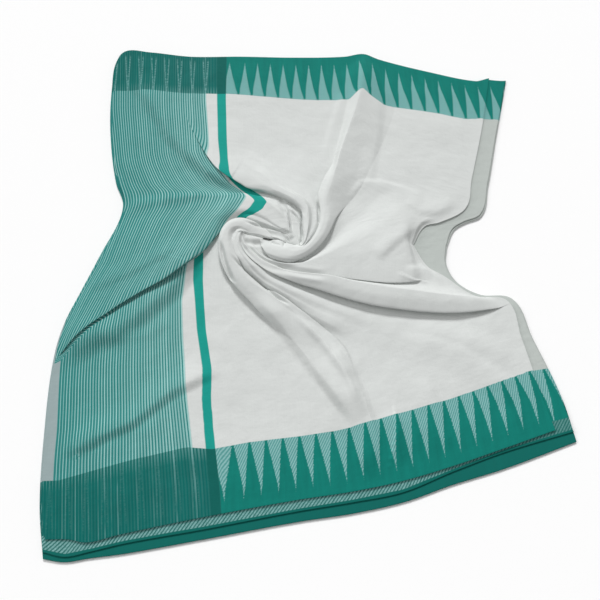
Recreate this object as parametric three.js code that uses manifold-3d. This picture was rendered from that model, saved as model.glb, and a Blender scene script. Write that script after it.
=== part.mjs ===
// A saree folded in layers and laid down, its top sheet pinched and twisted into a swirl.
// Millimetres, +Z up. The selvedges run along X, and the striped end, the pallu, is at the -X side.
// The top sheet is one heightfield of folds. Every fold is a line that runs from the slit at the
// heart of the swirl out to the sheet's edge and turns clockwise on its way in.

import * as THREE from "three";
import { mergeVertices } from "three/addons/utils/BufferGeometryUtils.js";
import Module from "manifold-3d";

const WALL = 1.5;
const SEAM = 0.3;
const LAYER_GAP = 0.3;
const STEEPEST = 0.46;

// Middle of the underside's box in the layout frame that the tables below are measured in.
const LAYOUT_MIDDLE = { x: -15, y: 0.5 };

// Rings round the swirl, from the slit outward. tilt is in degrees.
const RINGS = [
  { name: "slit", x: -96, y: 39, rx: 54, ry: 3, tilt: -10 },
  { name: "rim", x: -107, y: 54, rx: 87, ry: 87, tilt: 0 },
  { name: "mid", x: -95, y: 37, rx: 150, ry: 150, tilt: 0 },
  { name: "far", x: -75, y: 21, rx: 260, ry: 260, tilt: 0 },
];
const OUTER = { x: -75, y: 21 };
const WIDE_SHARE = 0.6;

// Ring numbers at which the mesh has a row of points: 0 is the slit and 5 is the sheet's edge.
const LEVELS = [
  0.18, 0.32, 0.48, 0.66, 0.84, 1, 1.25, 1.5, 1.75, 2, 2.25, 2.5, 2.75, 3, 3.3, 3.6, 3.9, 4.2, 4.5, 4.78, 5,
];

// Edge of the top sheet, clockwise from the top left corner. Columns: x and y of the top sheet,
// then how far the second layer reaches past it in x and y, then the third layer in the same way.
const EDGE = [
  [-450, 583, -2, 3, -3, 6],
  [-389, 580, 0, 3, 0, 6],
  [-293, 566, 0, 3, 0, 6],
  [-173, 566, 0, 3, 0, 6],
  [-54, 563, 0, 3, 0, 6],
  [77, 566, 0, 3, 0, 6],
  [123, 574, 1, 3, 1, 6],
  [156, 557, 2, 3, 4, 6],
  [276, 515, 1, 4, 2, 7],
  [379, 487, 2, 4, 4, 7],
  [414, 497, 37, -5, 41, -2],
  [387, 374, 40, 20, 43, 22],
  [371, 310, 36, 8, 39, 8],
  [341, 200, 34, -8, 37, -9],
  [321, 127, 29, -14, 32, -17],
  [263, 91, 50, 4, 53, 1],
  [231, 81, 58, -3, 62, -5],
  [203, 35, 68, 0, 71, -1],
  [229, -16, 37, 6, 40, 7],
  [261, -39, 22, -13, 25, -10],
  [318, -84, 8, 4, 10, 7],
  [379, -94, 9, 6, 12, 8],
  [397, -176, 21, 1, 24, 1],
  [421, -308, 34, 8, 37, 8],
  [433, -360, 34, -2, 37, -20],
  [327, -397, 8, -4, 5, -33],
  [235, -428, 5, -8, 1, -31],
  [145, -454, 5, -18, 7, -34],
  [57, -472, 1, -18, 3, -36],
  [-30, -485, 1, -19, 2, -36],
  [-201, -516, 2, -20, 2, -36],
  [-336, -544, 6, -15, 6, -31],
  [-392, -557, 7, -15, 7, -25],
  [-422, -552, -3, -28, -3, -36],
  [-462, -552, -2, -20, 0, -31],
  [-475, -500, -3, 0, -6, 0],
  [-488, -379, -3, 0, -6, 0],
  [-494, -203, -3, 0, -6, 0],
  [-485, -143, -3, 1, -6, 2],
  [-462, -71, -3, 1, -6, 2],
  [-437, 5, -3, 1, -6, 2],
  [-401, 137, -3, 0, -6, 0],
  [-423, 200, -3, -1, -6, -2],
  [-454, 353, -3, 0, -6, 0],
  [-464, 470, -3, 0, -6, 0],
  [-463, 556, -3, 0, -6, 0],
];

// A row for each fold line, clockwise. turn is its angle in degrees at the rings slit, rim, mid
// and far, and edge is where it leaves the sheet, as a row number of EDGE. height is its height
// at those four rings, at a wide ring between far and the edge, and at the edge. over says which
// side of a crease lies on top, cw or ccw, sharp gives the ring numbers between which the crease
// is a real edge, and steps is the number of mesh rays up to the next line.
const FOLDS = [
  { name: "notch line", steps: 3,
    turn: [22, 88, 132, 152], edge: 41, height: [20, 31, 24, 19, 15, 13] },
  { name: "pallu valley", steps: 3,
    turn: [13, 72, 121, 131], edge: 43.4, height: [20, 28, 14, 10.5, 10, 10] },
  { name: "top left corner", steps: 2,
    turn: [7, 52, 115, 127], edge: 46, height: [20, 28, 16, 12, 11, 10] },
  { name: "roll one edge", over: "cw", sharp: [0, 3.1], steps: 4,
    turn: [0, 32, 109, 123], edge: 47.15, height: [20, 25, 15, 12.5, 11.5, 10] },
  { name: "roll one crest", steps: 3,
    turn: [-18, 10, 90, 112], edge: 48, height: [29, 42, 33, 21, 12.5, 10] },
  { name: "roll one back", steps: 3,
    turn: [-32, -6, 74, 104], edge: 48.7, height: [27, 38, 23, 15, 12, 10] },
  { name: "top flat", steps: 3,
    turn: [-45, -18, 59, 83], edge: 50, height: [27, 40, 24, 15, 12, 10] },
  { name: "ridge left", over: "cw", sharp: [0.6, 2.4], steps: 3,
    turn: [-56, -30, 44, 63], edge: 51, height: [26, 37, 21, 14, 13, 11] },
  { name: "ridge crest", steps: 4,
    turn: [-72, -42, 37, 60], edge: 52, height: [29, 43, 38, 33, 31, 16] },
  { name: "ridge foot", over: "ccw", sharp: [0, 1.7], steps: 3,
    turn: [-100, -55, 22, 44], edge: 53.3, height: [24, 32, 20, 13, 12, 10] },
  { name: "top right corner", steps: 4,
    turn: [-108, -57.5, 17, 39], edge: 56, height: [24, 32, 20, 13, 11, 10] },
  { name: "hump back", steps: 4,
    turn: [-122, -60, 11, 34], edge: 60, height: [24, 33, 20, 13, 11, 10] },
  { name: "hump crest", steps: 6,
    turn: [-134, -65, -9, 15], edge: 62, height: [26, 38, 33, 27, 18, 14] },
  { name: "thin crease", over: "ccw", sharp: [1.6, 3.3], steps: 3,
    turn: [-150, -69, -33, -18], edge: 65, height: [25, 34, 25, 17, 12, 10] },
  { name: "great roll crest", steps: 4,
    turn: [-158, -76, -37, -23], edge: 66.4, height: [28, 40, 37, 31, 26, 15] },
  { name: "great roll edge", over: "ccw", sharp: [0.9, 4.6], steps: 4,
    turn: [-170, -85, -48, -31], edge: 67.1, height: [24, 31, 17, 11, 10, 10] },
  { name: "second roll crest", steps: 3,
    turn: [-178, -101, -61, -41], edge: 68.3, height: [28, 39, 26, 15, 12, 10] },
  { name: "low right corner", steps: 5,
    turn: [-184, -107, -67, -47], edge: 70, height: [27, 37, 23, 14, 11, 10] },
  { name: "long crease", over: "cw", sharp: [0.8, 2.9], steps: 4,
    turn: [-196, -123, -75, -61], edge: 73.2, height: [23, 30, 15, 13, 12, 10] },
  { name: "bulge crest", steps: 4,
    turn: [-238, -142, -80, -66], edge: 73.5, height: [31, 41, 29, 20, 19, 15] },
  { name: "bulge edge", over: "ccw", sharp: [0, 2], steps: 4,
    turn: [-280, -172, -98, -76], edge: 73.8, height: [20, 19, 13, 11, 11, 10] },
  { name: "white flat", steps: 5,
    turn: [-290, -177, -130, -112], edge: 75.7, height: [20, 19, 15, 12, 11, 10] },
  { name: "low left corner", steps: 4,
    turn: [-300, -180, -147, -135], edge: 80, height: [20, 19, 14, 11, 10.5, 10] },
  { name: "lobe edge", over: "cw", sharp: [1.3, 5], steps: 4,
    turn: [-310, -184, -166, -161], edge: 82.9, height: [20, 18, 12, 10, 10, 10] },
  { name: "lobe crest", steps: 5,
    turn: [-322, -222, -184, -173], edge: 84, height: [22, 32, 29, 25, 20, 13] },
];
const SHARP_FADE = 0.7;
const SNAP = 0.4;

const SECOND_TOP = 8.2;
const THIRD_TOP = 4.2;
const HEM_ROUND = 1.2;

// Woven lines where one stretch of the cloth ends and the next begins, as x and y.
const TOP_BORDER_LINE = [
  [-540, 463], [-354, 451], [-195, 445], [-30, 427], [69, 424], [84, 425], [114, 447], [134, 428],
  [162, 409], [289, 385], [344, 370], [383, 373], [480, 373],
];
const LOW_BORDER_LINE = [
  [-540, -455], [-454, -452], [-349, -421], [-234, -392], [-187, -396], [-120, -383], [-30, -372],
  [61, -357], [107, -342], [153, -329], [247, -301], [344, -266], [407, -242], [500, -225],
];
const PALLU_LINE = [
  [-200, 650], [-195, 462], [-191, 425], [-183, 308], [-178, 245], [-168, 210], [-145, 188],
  [-119, 173], [-98, 154], [-109, 118], [-134, 96], [-154, 88], [-180, 84], [-200, 60], [-222, 20],
  [-227, -8], [-226, -50], [-219, -96], [-212, -161], [-193, -245], [-179, -304], [-171, -398],
  [-164, -461], [-162, -650],
];
const CURTAIN = { low: -5, high: 70 };

const COLOURS = {
  body_field: 0xeceeec,
  pallu_field: 0x6fb0ae,
  body_border_top: 0x178272,
  body_border_bottom: 0x1f8a7c,
  pallu_border_top: 0x1d7a70,
  pallu_border_bottom: 0x276a68,
  under_layers: 0xc3c9c6,
};

const radians = THREE.MathUtils.degToRad;
const degrees = THREE.MathUtils.radToDeg;
const smooth = (t) => t * t * (3 - 2 * t);
const mix = (a, b, t) => a + (b - a) * t;
const clamp01 = (t) => Math.min(1, Math.max(0, t));
const wrapped = (angle) => THREE.MathUtils.euclideanModulo(angle + 180, 360) - 180;

// Slope at value i of a row of evenly spaced values, chosen so that the curve never overshoots.
function slopeAt(values, i) {
  if (i === 0 || i === values.length - 1) return 0;
  const before = values[i] - values[i - 1];
  const after = values[i + 1] - values[i];
  return before * after <= 0 ? 0 : (2 * before * after) / (before + after);
}

// Smooth curve through a row of values, read at a ring number.
function along(values, level) {
  const i = Math.min(Math.floor(level), values.length - 2);
  const t = level - i;
  const rise = values[i + 1] - values[i];
  const startSlope = i === 0 ? rise : slopeAt(values, i);
  const endSlope = i + 1 === values.length - 1 ? rise : slopeAt(values, i + 1);
  return values[i] + startSlope * t * (1 - t) * (1 - t) + rise * smooth(t) - endSlope * t * t * (1 - t);
}

// Point at a place along the edge of a layer: 3.5 is halfway between rows 3 and 4 of EDGE.
// Layer 0 is the top sheet, 1 the second layer and 2 the third.
function edgePoint(place, layer) {
  const row = (i) => EDGE[i % EDGE.length];
  const at = ([x, y, ...reach], axis) => [x, y][axis] + (layer > 0 ? reach[2 * layer - 2 + axis] : 0);
  const i = Math.floor(place);
  const read = (axis) => mix(at(row(i), axis), at(row(i + 1), axis), place - i);
  return new THREE.Vector2(read(0), read(1));
}

// Plan point of a ray at a ring number.
function planPoint(ray, level) {
  const toEdge = edgePoint(ray.edge, 0).sub(OUTER);
  const radius = toEdge.length();
  const wide = mix(RINGS[RINGS.length - 1].rx, radius, WIDE_SHARE);
  const farTurn = ray.turn[ray.turn.length - 1];
  const toEdgeTurn = wrapped(degrees(toEdge.angle()) - farTurn);
  const read = (key, wideValue, edgeValue) =>
    along([...RINGS.map((ring) => ring[key]), wideValue, edgeValue], level);
  const turns = [...ray.turn, farTurn + WIDE_SHARE * toEdgeTurn, farTurn + toEdgeTurn];
  const angle = radians(along(turns, level));
  const tilt = radians(read("tilt", 0, 0));
  const x = read("rx", wide, radius) * Math.cos(angle);
  const y = read("ry", wide, radius) * Math.sin(angle);
  return {
    x: read("x", OUTER.x, OUTER.x) + x * Math.cos(tilt) - y * Math.sin(tilt),
    y: read("y", OUTER.y, OUTER.y) + x * Math.sin(tilt) + y * Math.cos(tilt),
  };
}

// How much of a real edge a crease is at a ring number, from 0 to 1.
function sharpness(fold, level) {
  if (!fold.over) return 0;
  const [inner, outer] = fold.sharp;
  return smooth(clamp01((level - inner) / SHARP_FADE + 1)) * smooth(clamp01((outer - level) / SHARP_FADE + 1));
}

// Height of one fold line. Inside the rim it falls into the slit like the side of a roll.
function lineHeight(fold, level) {
  if (level >= 1) return along(fold.height.slice(1), level - 1);
  return mix(fold.height[0], fold.height[1], Math.sqrt(1 - (1 - level) ** 2));
}

// Share of the way from fold a to fold b in height, at share t of the way in plan.
function crossProfile(a, b, t, level) {
  const start = a.over === "cw" ? Math.sqrt(1 - (1 - t) ** 2) : Math.sin((t * Math.PI) / 2);
  const end = b.over === "ccw" ? 1 - Math.sqrt(1 - t * t) : 1 - Math.cos((t * Math.PI) / 2);
  const startShare = sharpness(a, level);
  const endShare = sharpness(b, level) * (1 - startShare);
  return smooth(t) * (1 - startShare - endShare) + start * startShare + end * endShare;
}

// Shares of the way to the next line at which rays lie, closer together at a crease's steep side.
function rayShares(a, b) {
  const shares = [];
  for (let i = 0; i < a.steps; i++) {
    const t = i / a.steps;
    if (a.over === "cw") shares.push(t ** 1.5);
    else if (b.over === "ccw") shares.push(1 - (1 - t) ** 1.5);
    else shares.push(t);
  }
  return shares;
}

// The rays of the mesh, clockwise: for each, its angles at the rings, its place on the edge and
// its height at any level.
function makeRays() {
  const rays = [];
  FOLDS.forEach((a, i) => {
    const last = i === FOLDS.length - 1;
    const b = last ? FOLDS[0] : FOLDS[i + 1];
    const bTurn = b.turn.map((angle) => angle - (last ? 360 : 0));
    const bEdge = b.edge + (last ? EDGE.length : 0);
    for (const t of rayShares(a, b)) {
      rays.push({
        turn: a.turn.map((angle, ring) => mix(angle, bTurn[ring], t)),
        edge: mix(a.edge, bEdge, t),
        height: (level) => mix(lineHeight(a, level), lineHeight(b, level), crossProfile(a, b, t, level)),
      });
    }
  });
  snapToCorners(rays);
  return rays;
}

// Moves the nearest ray onto each corner of the edge, where one is near enough.
function snapToCorners(rays) {
  const places = rays.map((ray) => ray.edge);
  for (let corner = Math.ceil(places[0]); corner < places[0] + EDGE.length; corner++) {
    const nearest = places.reduce(
      (best, place, k) => (Math.abs(place - corner) < Math.abs(places[best] - corner) ? k : best),
      0,
    );
    if (Math.abs(places[nearest] - corner) < SNAP) rays[nearest].edge = corner;
  }
}

// Upward share of the sheet's normal at each point of the grid, never less than STEEPEST.
function uprightShares(grid) {
  const rayCount = grid.length;
  return grid.map((ray, k) =>
    ray.map((point, j) => {
      const next = grid[(k + 1) % rayCount][j];
      const before = grid[(k + rayCount - 1) % rayCount][j];
      const outward = ray[Math.min(j + 1, ray.length - 1)];
      const inward = ray[Math.max(j - 1, 0)];
      const across = new THREE.Vector3().subVectors(next, before);
      const down = new THREE.Vector3().subVectors(outward, inward);
      const normal = across.cross(down).normalize();
      return Math.max(Math.abs(normal.z), STEEPEST);
    }),
  );
}

// One closed body from closed rings of points, each ring with the same number of points.
// The first and the last ring are closed by fans. From the ring turnedAt on, the cells' diagonals
// are turned, so that a face that comes back in is parted into triangles like the one going out.
function bodyFromRings(rings, turnedAt = Infinity) {
  const count = rings[0].length;
  const middle = (ring) =>
    ring.reduce((sum, point) => sum.add(point), new THREE.Vector3()).divideScalar(ring.length);
  const points = [...rings.flat(), middle(rings[0]), middle(rings[rings.length - 1])];
  const firstMiddle = points.length - 2;
  const lastMiddle = points.length - 1;
  const lastStart = (rings.length - 1) * count;
  const faces = [];
  for (let k = 0; k < count; k++) {
    const next = (k + 1) % count;
    faces.push(firstMiddle, next, k);
    faces.push(lastMiddle, lastStart + k, lastStart + next);
    for (let j = 0; j < rings.length - 1; j++) {
      const a = j * count + k;
      const b = j * count + next;
      const c = a + count;
      const d = b + count;
      if (j < turnedAt) faces.push(a, b, d, a, d, c);
      else faces.push(a, b, c, b, d, c);
    }
  }
  const geometry = new THREE.BufferGeometry();
  const coordinates = points.flatMap((point) => [point.x, point.y, point.z]);
  geometry.setAttribute("position", new THREE.Float32BufferAttribute(coordinates, 3));
  geometry.setIndex(faces);
  return geometry;
}

const rays = makeRays();
const topGrid = rays.map((ray) =>
  LEVELS.map((level) => {
    const { x, y } = planPoint(ray, level);
    return new THREE.Vector3(x, y, ray.height(level));
  }),
);
const upright = uprightShares(topGrid);
const lowered = (drop) =>
  topGrid.map((ray, k) => ray.map((point, j) => point.clone().setZ(point.z - drop / upright[k][j])));
const ringsOf = (grid) => LEVELS.map((level, j) => grid.map((ray) => ray[j]));

// The top sheet: its upper face, then its lower face from the edge back in.
function makeTopSheet() {
  const upper = ringsOf(topGrid);
  const lower = ringsOf(lowered(WALL));
  return bodyFromRings([...upper, ...lower.reverse()], upper.length);
}

// Ring of points along the edge of a layer, moved in a little towards the top sheet's edge.
function edgeRing(layer, inset, height) {
  return rays.map((ray) => {
    const point = edgePoint(ray.edge, layer);
    const inward = edgePoint(ray.edge, 0).sub(point).setLength(inset);
    return new THREE.Vector3(point.x + inward.x, point.y + inward.y, height);
  });
}

// The layers under the top sheet: one rounded solid that fills the folds, with two ledges at its edge.
function makeUnderLayers() {
  const top = ringsOf(lowered(WALL + LAYER_GAP));
  return bodyFromRings([
    ...top,
    edgeRing(1, HEM_ROUND, SECOND_TOP),
    edgeRing(1, 0, mix(SECOND_TOP, THIRD_TOP, 0.4)),
    edgeRing(1, HEM_ROUND, THIRD_TOP),
    edgeRing(2, HEM_ROUND, THIRD_TOP - LAYER_GAP),
    edgeRing(2, 0, THIRD_TOP / 2),
    edgeRing(2, HEM_ROUND, 0),
  ]);
}

// Outline of a ribbon SEAM wide along a line, as a shape.
function ribbonShape(line) {
  const points = line.map(([x, y]) => new THREE.Vector2(x, y));
  const side = (sign) =>
    points.map((point, i) => {
      const before = points[Math.max(i - 1, 0)];
      const after = points[Math.min(i + 1, points.length - 1)];
      const heading = after.clone().sub(before).normalize();
      const reach = (sign * SEAM) / 2;
      return new THREE.Vector2(point.x - heading.y * reach, point.y + heading.x * reach);
    });
  return new THREE.Shape([...side(1), ...side(-1).reverse()]);
}

// Tall thin wall along a line, to part the sheet there.
function makeCurtain(line) {
  const depth = CURTAIN.high - CURTAIN.low;
  const curtain = new THREE.ExtrudeGeometry(ribbonShape(line), { depth, bevelEnabled: false });
  return curtain.translate(0, 0, CURTAIN.low);
}

const wasm = await Module();
wasm.setup();

function toSolid(geometry) {
  const bare = geometry.clone();
  bare.deleteAttribute("normal");
  bare.deleteAttribute("uv");
  const merged = mergeVertices(bare, 1e-4);
  return new wasm.Manifold(
    new wasm.Mesh({
      numProp: 3,
      vertProperties: new Float32Array(merged.attributes.position.array),
      triVerts: new Uint32Array(merged.index.array),
    }),
  );
}

function toGeometry(solid) {
  const { vertProperties, triVerts } = solid.getMesh();
  const geometry = new THREE.BufferGeometry();
  geometry.setAttribute("position", new THREE.BufferAttribute(new Float32Array(vertProperties), 3));
  geometry.setIndex(new THREE.BufferAttribute(new Uint32Array(triVerts), 1));
  return geometry;
}

// Value of a line at a given place, from the two points on either side of it.
function readLine(line, from, to, place) {
  const rising = line[0][from] < line[line.length - 1][from];
  const i = line.findIndex((point) => (rising ? point[from] > place : point[from] < place));
  const a = line[i - 1];
  const b = line[i];
  return mix(a[to], b[to], (place - a[from]) / (b[from] - a[from]));
}

// Node name of a part of the sheet, from the middle of its points.
function stretchName(geometry) {
  const position = geometry.attributes.position;
  let x = 0;
  let y = 0;
  for (let i = 0; i < position.count; i++) {
    x += position.getX(i) / position.count;
    y += position.getY(i) / position.count;
  }
  const stretch = x < readLine(PALLU_LINE, 1, 0, y) ? "pallu" : "body";
  if (y > readLine(TOP_BORDER_LINE, 0, 1, x)) return `${stretch}_border_top`;
  if (y < readLine(LOW_BORDER_LINE, 0, 1, x)) return `${stretch}_border_bottom`;
  return `${stretch}_field`;
}

// The top sheet, parted along its woven lines into named stretches.
function makeStretches() {
  let sheet = toSolid(makeTopSheet());
  for (const line of [TOP_BORDER_LINE, LOW_BORDER_LINE, PALLU_LINE]) {
    sheet = sheet.subtract(toSolid(makeCurtain(line)));
  }
  return sheet.decompose().map(toGeometry);
}

function makeMesh(name, geometry) {
  geometry.translate(-LAYOUT_MIDDLE.x, -LAYOUT_MIDDLE.y, 0);
  geometry.computeVertexNormals();
  const material = new THREE.MeshStandardMaterial({ color: COLOURS[name], roughness: 0.85, metalness: 0 });
  const mesh = new THREE.Mesh(geometry, material);
  mesh.name = name;
  return mesh;
}

const group = new THREE.Group();
for (const geometry of makeStretches()) group.add(makeMesh(stretchName(geometry), geometry));
group.add(makeMesh("under_layers", makeUnderLayers()));

export default group;
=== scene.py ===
"""Dressed model of a cotton saree, folded in layers and laid flat with a twisted centre.

The top sheet is made again here as a fine grid of fold lines round the heart of the swirl, with
its creases, hems, woven stripes and temple borders. Tables are in millimetres, in the layout
frame: X along the saree's length, Y across its loom width. Lines that were read off the photograph
are in its pixels, and on_cloth() carries them to the cloth.
"""

import math

import bpy
import mathutils
import numpy as np
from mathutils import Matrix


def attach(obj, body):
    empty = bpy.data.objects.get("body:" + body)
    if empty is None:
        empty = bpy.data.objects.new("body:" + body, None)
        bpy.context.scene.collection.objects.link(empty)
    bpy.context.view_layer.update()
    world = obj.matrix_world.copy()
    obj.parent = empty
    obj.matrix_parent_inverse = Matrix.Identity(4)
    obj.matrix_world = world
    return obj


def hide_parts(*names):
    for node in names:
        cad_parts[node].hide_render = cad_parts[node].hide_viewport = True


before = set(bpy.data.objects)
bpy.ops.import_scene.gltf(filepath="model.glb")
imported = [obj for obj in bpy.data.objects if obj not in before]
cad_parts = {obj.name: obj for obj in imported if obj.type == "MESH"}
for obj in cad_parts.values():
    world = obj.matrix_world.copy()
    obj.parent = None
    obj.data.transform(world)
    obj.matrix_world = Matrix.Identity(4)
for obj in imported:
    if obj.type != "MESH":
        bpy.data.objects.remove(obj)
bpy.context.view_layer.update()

MM = 0.001
TINY = 1e-9
# Where the frame's origin is in the layout, in mm.
LAYOUT_MIDDLE = (-15.0, 0.5)

# The camera, as the photograph was taken: size and focal length in pixels, pitch in degrees and
# place in mm. Lines of pixels are read at one height of the cloth.
PHOTO_SIZE = 600
PHOTO_FOCAL = 750.0
CAMERA_PITCH = 62.0
PITCH_SIN, PITCH_COS = math.sin(math.radians(CAMERA_PITCH)), math.cos(math.radians(CAMERA_PITCH))
CAMERA_AT = (-30.0, -790.0, 1320.0)
CLOTH_HEIGHT = 12.0


def on_cloth(pixels):
    """Layout place, in mm, of pixels of the photograph that show cloth at CLOTH_HEIGHT."""
    pixels = np.asarray(pixels, float)
    right = (pixels[..., 0] - PHOTO_SIZE / 2) / PHOTO_FOCAL
    up = (PHOTO_SIZE / 2 - pixels[..., 1]) / PHOTO_FOCAL
    reach = (CLOTH_HEIGHT - CAMERA_AT[2]) / (-PITCH_SIN + up * PITCH_COS)
    ahead = (PITCH_COS + up * PITCH_SIN) * reach
    return np.stack([CAMERA_AT[0] + right * reach, CAMERA_AT[1] + ahead], -1)


def seen_at(points):
    """Pixels of the photograph at which layout points, in mm, are seen, and their depth."""
    x, y, z = (points[..., k] - CAMERA_AT[k] for k in range(3))
    depth = y * PITCH_COS - z * PITCH_SIN
    right = PHOTO_SIZE / 2 + PHOTO_FOCAL * x / depth
    down = PHOTO_SIZE / 2 - PHOTO_FOCAL * (y * PITCH_SIN + z * PITCH_COS) / depth
    return right, down, depth


# Rings round the swirl, from the slit outward: centre x, y, radii, tilt in degrees.
RINGS = [
    (-96, 39, 54, 3, -10),
    (-107, 54, 87, 87, 0),
    (-95, 37, 150, 150, 0),
    (-75, 21, 260, 260, 0),
]
# Middle of the wide ring and of the edge, the wide ring's share of the way to the edge, and the
# ring numbers over which a crease turns from a real edge into a soft slope.
OUTER = np.array([-75.0, 21.0])
WIDE_SHARE = 0.6
SHARP_FADE = 0.7

# Edge of the top sheet, clockwise from the top left corner: x and y, then how far the second
# layer and the third layer reach past it, in x and y.
EDGE = [
    (-450, 583, -2, 3, -3, 6), (-389, 580, 0, 3, 0, 6), (-293, 566, 0, 3, 0, 6),
    (-173, 566, 0, 3, 0, 6), (-54, 563, 0, 3, 0, 6), (77, 566, 0, 3, 0, 6),
    (123, 574, 1, 3, 1, 6), (156, 557, 2, 3, 4, 6), (276, 515, 1, 4, 2, 7),
    (379, 487, 2, 4, 4, 7), (414, 497, 37, -5, 41, -2), (387, 374, 40, 20, 43, 22),
    (371, 310, 36, 8, 39, 8), (341, 200, 34, -8, 37, -9), (321, 127, 29, -14, 32, -17),
    (263, 91, 50, 4, 53, 1), (231, 81, 58, -3, 62, -5), (203, 35, 68, 0, 71, -1),
    (229, -16, 37, 6, 40, 7), (261, -39, 22, -13, 25, -10), (318, -84, 8, 4, 10, 7),
    (379, -94, 9, 6, 12, 8), (397, -176, 21, 1, 24, 1), (421, -308, 34, 8, 37, 8),
    (433, -360, 34, -2, 37, -20), (327, -397, 8, -4, 5, -33), (235, -428, 5, -8, 1, -31),
    (145, -454, 5, -18, 7, -34), (57, -472, 1, -18, 3, -36), (-30, -485, 1, -19, 2, -36),
    (-201, -516, 2, -20, 2, -36), (-336, -544, 6, -15, 6, -31), (-392, -557, 7, -15, 7, -25),
    (-422, -552, -3, -28, -3, -36), (-462, -552, -2, -20, 0, -31), (-475, -500, -3, 0, -6, 0),
    (-488, -379, -3, 0, -6, 0), (-494, -203, -3, 0, -6, 0), (-485, -143, -3, 1, -6, 2),
    (-462, -71, -3, 1, -6, 2), (-437, 5, -3, 1, -6, 2), (-401, 137, -3, 0, -6, 0),
    (-423, 200, -3, -1, -6, -2), (-454, 353, -3, 0, -6, 0), (-464, 470, -3, 0, -6, 0),
    (-463, 556, -3, 0, -6, 0),
]
# Rows of EDGE at which the outline turns sharply.
TOP_RIGHT, NOTCH, LOW_RIGHT, LOW_LEFT = 10, 17, 24, 34
SHARP_CORNERS = (TOP_RIGHT, NOTCH, LOW_RIGHT, LOW_LEFT)

# Fold lines, clockwise: name, the side of its crease that lies on top and the ring numbers between
# which it is a real edge, rays up to the next line, angles at the four rings, place on the edge, and
# heights at the four rings, at the wide ring and at the edge.
FOLDS = [
    ("notch line", None, 3, (22, 88, 132, 152), 41, (20, 31, 24, 19, 15, 13)),
    ("pallu valley", None, 3, (13, 72, 121, 131), 43.4, (20, 28, 14, 10.5, 10, 10)),
    ("top left corner", None, 2, (7, 52, 115, 127), 46, (20, 28, 16, 12, 11, 10)),
    ("roll one edge", ("cw", 0, 3.1), 4, (0, 32, 109, 123), 47.15, (20, 25, 15, 12.5, 11.5, 10)),
    ("roll one crest", None, 3, (-18, 10, 90, 112), 48, (29, 42, 33, 21, 12.5, 10)),
    ("roll one back", None, 3, (-32, -6, 74, 104), 48.7, (27, 38, 23, 15, 12, 10)),
    ("top flat", None, 3, (-45, -18, 59, 83), 50, (27, 40, 24, 15, 12, 10)),
    ("ridge left", ("cw", 0.6, 2.4), 3, (-56, -30, 44, 63), 51, (26, 37, 21, 14, 13, 11)),
    ("ridge crest", None, 4, (-72, -42, 37, 60), 52, (29, 43, 38, 33, 31, 16)),
    ("ridge foot", ("ccw", 0, 1.7), 3, (-100, -55, 22, 44), 53.3, (24, 32, 20, 13, 12, 10)),
    ("top right corner", None, 4, (-108, -57.5, 17, 39), 56, (24, 32, 20, 13, 11, 10)),
    ("hump back", None, 4, (-122, -60, 11, 34), 60, (24, 33, 20, 13, 11, 10)),
    ("hump crest", None, 6, (-134, -65, -9, 15), 62, (26, 38, 33, 27, 18, 14)),
    ("thin crease", ("ccw", 1.6, 3.3), 3, (-150, -69, -33, -18), 65, (25, 34, 25, 17, 12, 10)),
    ("great roll crest", None, 4, (-158, -76, -37, -23), 66.4, (28, 40, 37, 31, 26, 15)),
    ("great roll edge", ("ccw", 0.9, 4.6), 4, (-170, -85, -48, -31), 67.1, (24, 31, 17, 11, 10, 10)),
    ("second roll crest", None, 3, (-178, -101, -61, -41), 68.3, (28, 39, 26, 15, 12, 10)),
    ("low right corner", None, 5, (-184, -107, -67, -47), 70, (27, 37, 23, 14, 11, 10)),
    ("long crease", ("cw", 0.8, 2.9), 4, (-196, -123, -75, -61), 73.2, (23, 30, 15, 13, 12, 10)),
    ("bulge crest", None, 4, (-238, -142, -80, -66), 73.5, (31, 41, 29, 20, 19, 15)),
    ("bulge edge", ("ccw", 0, 2), 4, (-280, -172, -98, -76), 73.8, (20, 19, 13, 11, 11, 10)),
    ("white flat", None, 5, (-290, -177, -130, -112), 75.7, (20, 19, 15, 12, 11, 10)),
    ("low left corner", None, 4, (-300, -180, -147, -135), 80, (20, 19, 14, 11, 10.5, 10)),
    ("lobe edge", ("cw", 1.3, 5), 4, (-310, -184, -166, -161), 82.9, (20, 18, 12, 10, 10, 10)),
    ("lobe crest", None, 5, (-322, -222, -184, -173), 84, (22, 32, 29, 25, 20, 13)),
]
# Lines after which the cloth falls in one plane instead of a soft slope, and how flat that is.
FACETS = ("ridge crest",)
FACET_SHARE = 0.85
# Rays of the fine grid for each ray in FOLDS, and how they crowd at a crease.
RAY_DETAIL = 7
CREASE_CROWDING = 1.9

# How many grid rows lie between neighbouring ring numbers, from the first one to the edge.
FIRST_LEVEL, EDGE_LEVEL = 0.0, 5.0
ROWS_BETWEEN = [
    (FIRST_LEVEL, 1.0, 30), (1.0, 2.0, 40), (2.0, 3.0, 44), (3.0, 4.0, 40), (4.0, EDGE_LEVEL, 42),
]

# A crease's upper side stands out past its foot by this much, in mm, most at this share of the way
# across it.
OVERHANG = 8.0
LIP_AT = 0.055
# 2 gives a roll a quarter circle as its side, and more makes it fuller.
ROUNDNESS = 3.5


def smooth(t):
    return t * t * (3 - 2 * t)


def mix(a, b, t):
    return a + (b - a) * t


def curve(start, rise, leaving, arriving, t):
    """Place at share t of a smooth step from start, with its slopes at both ends."""
    return start + leaving * t * (1 - t) ** 2 + rise * smooth(t) - arriving * t * t * (1 - t)


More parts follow.
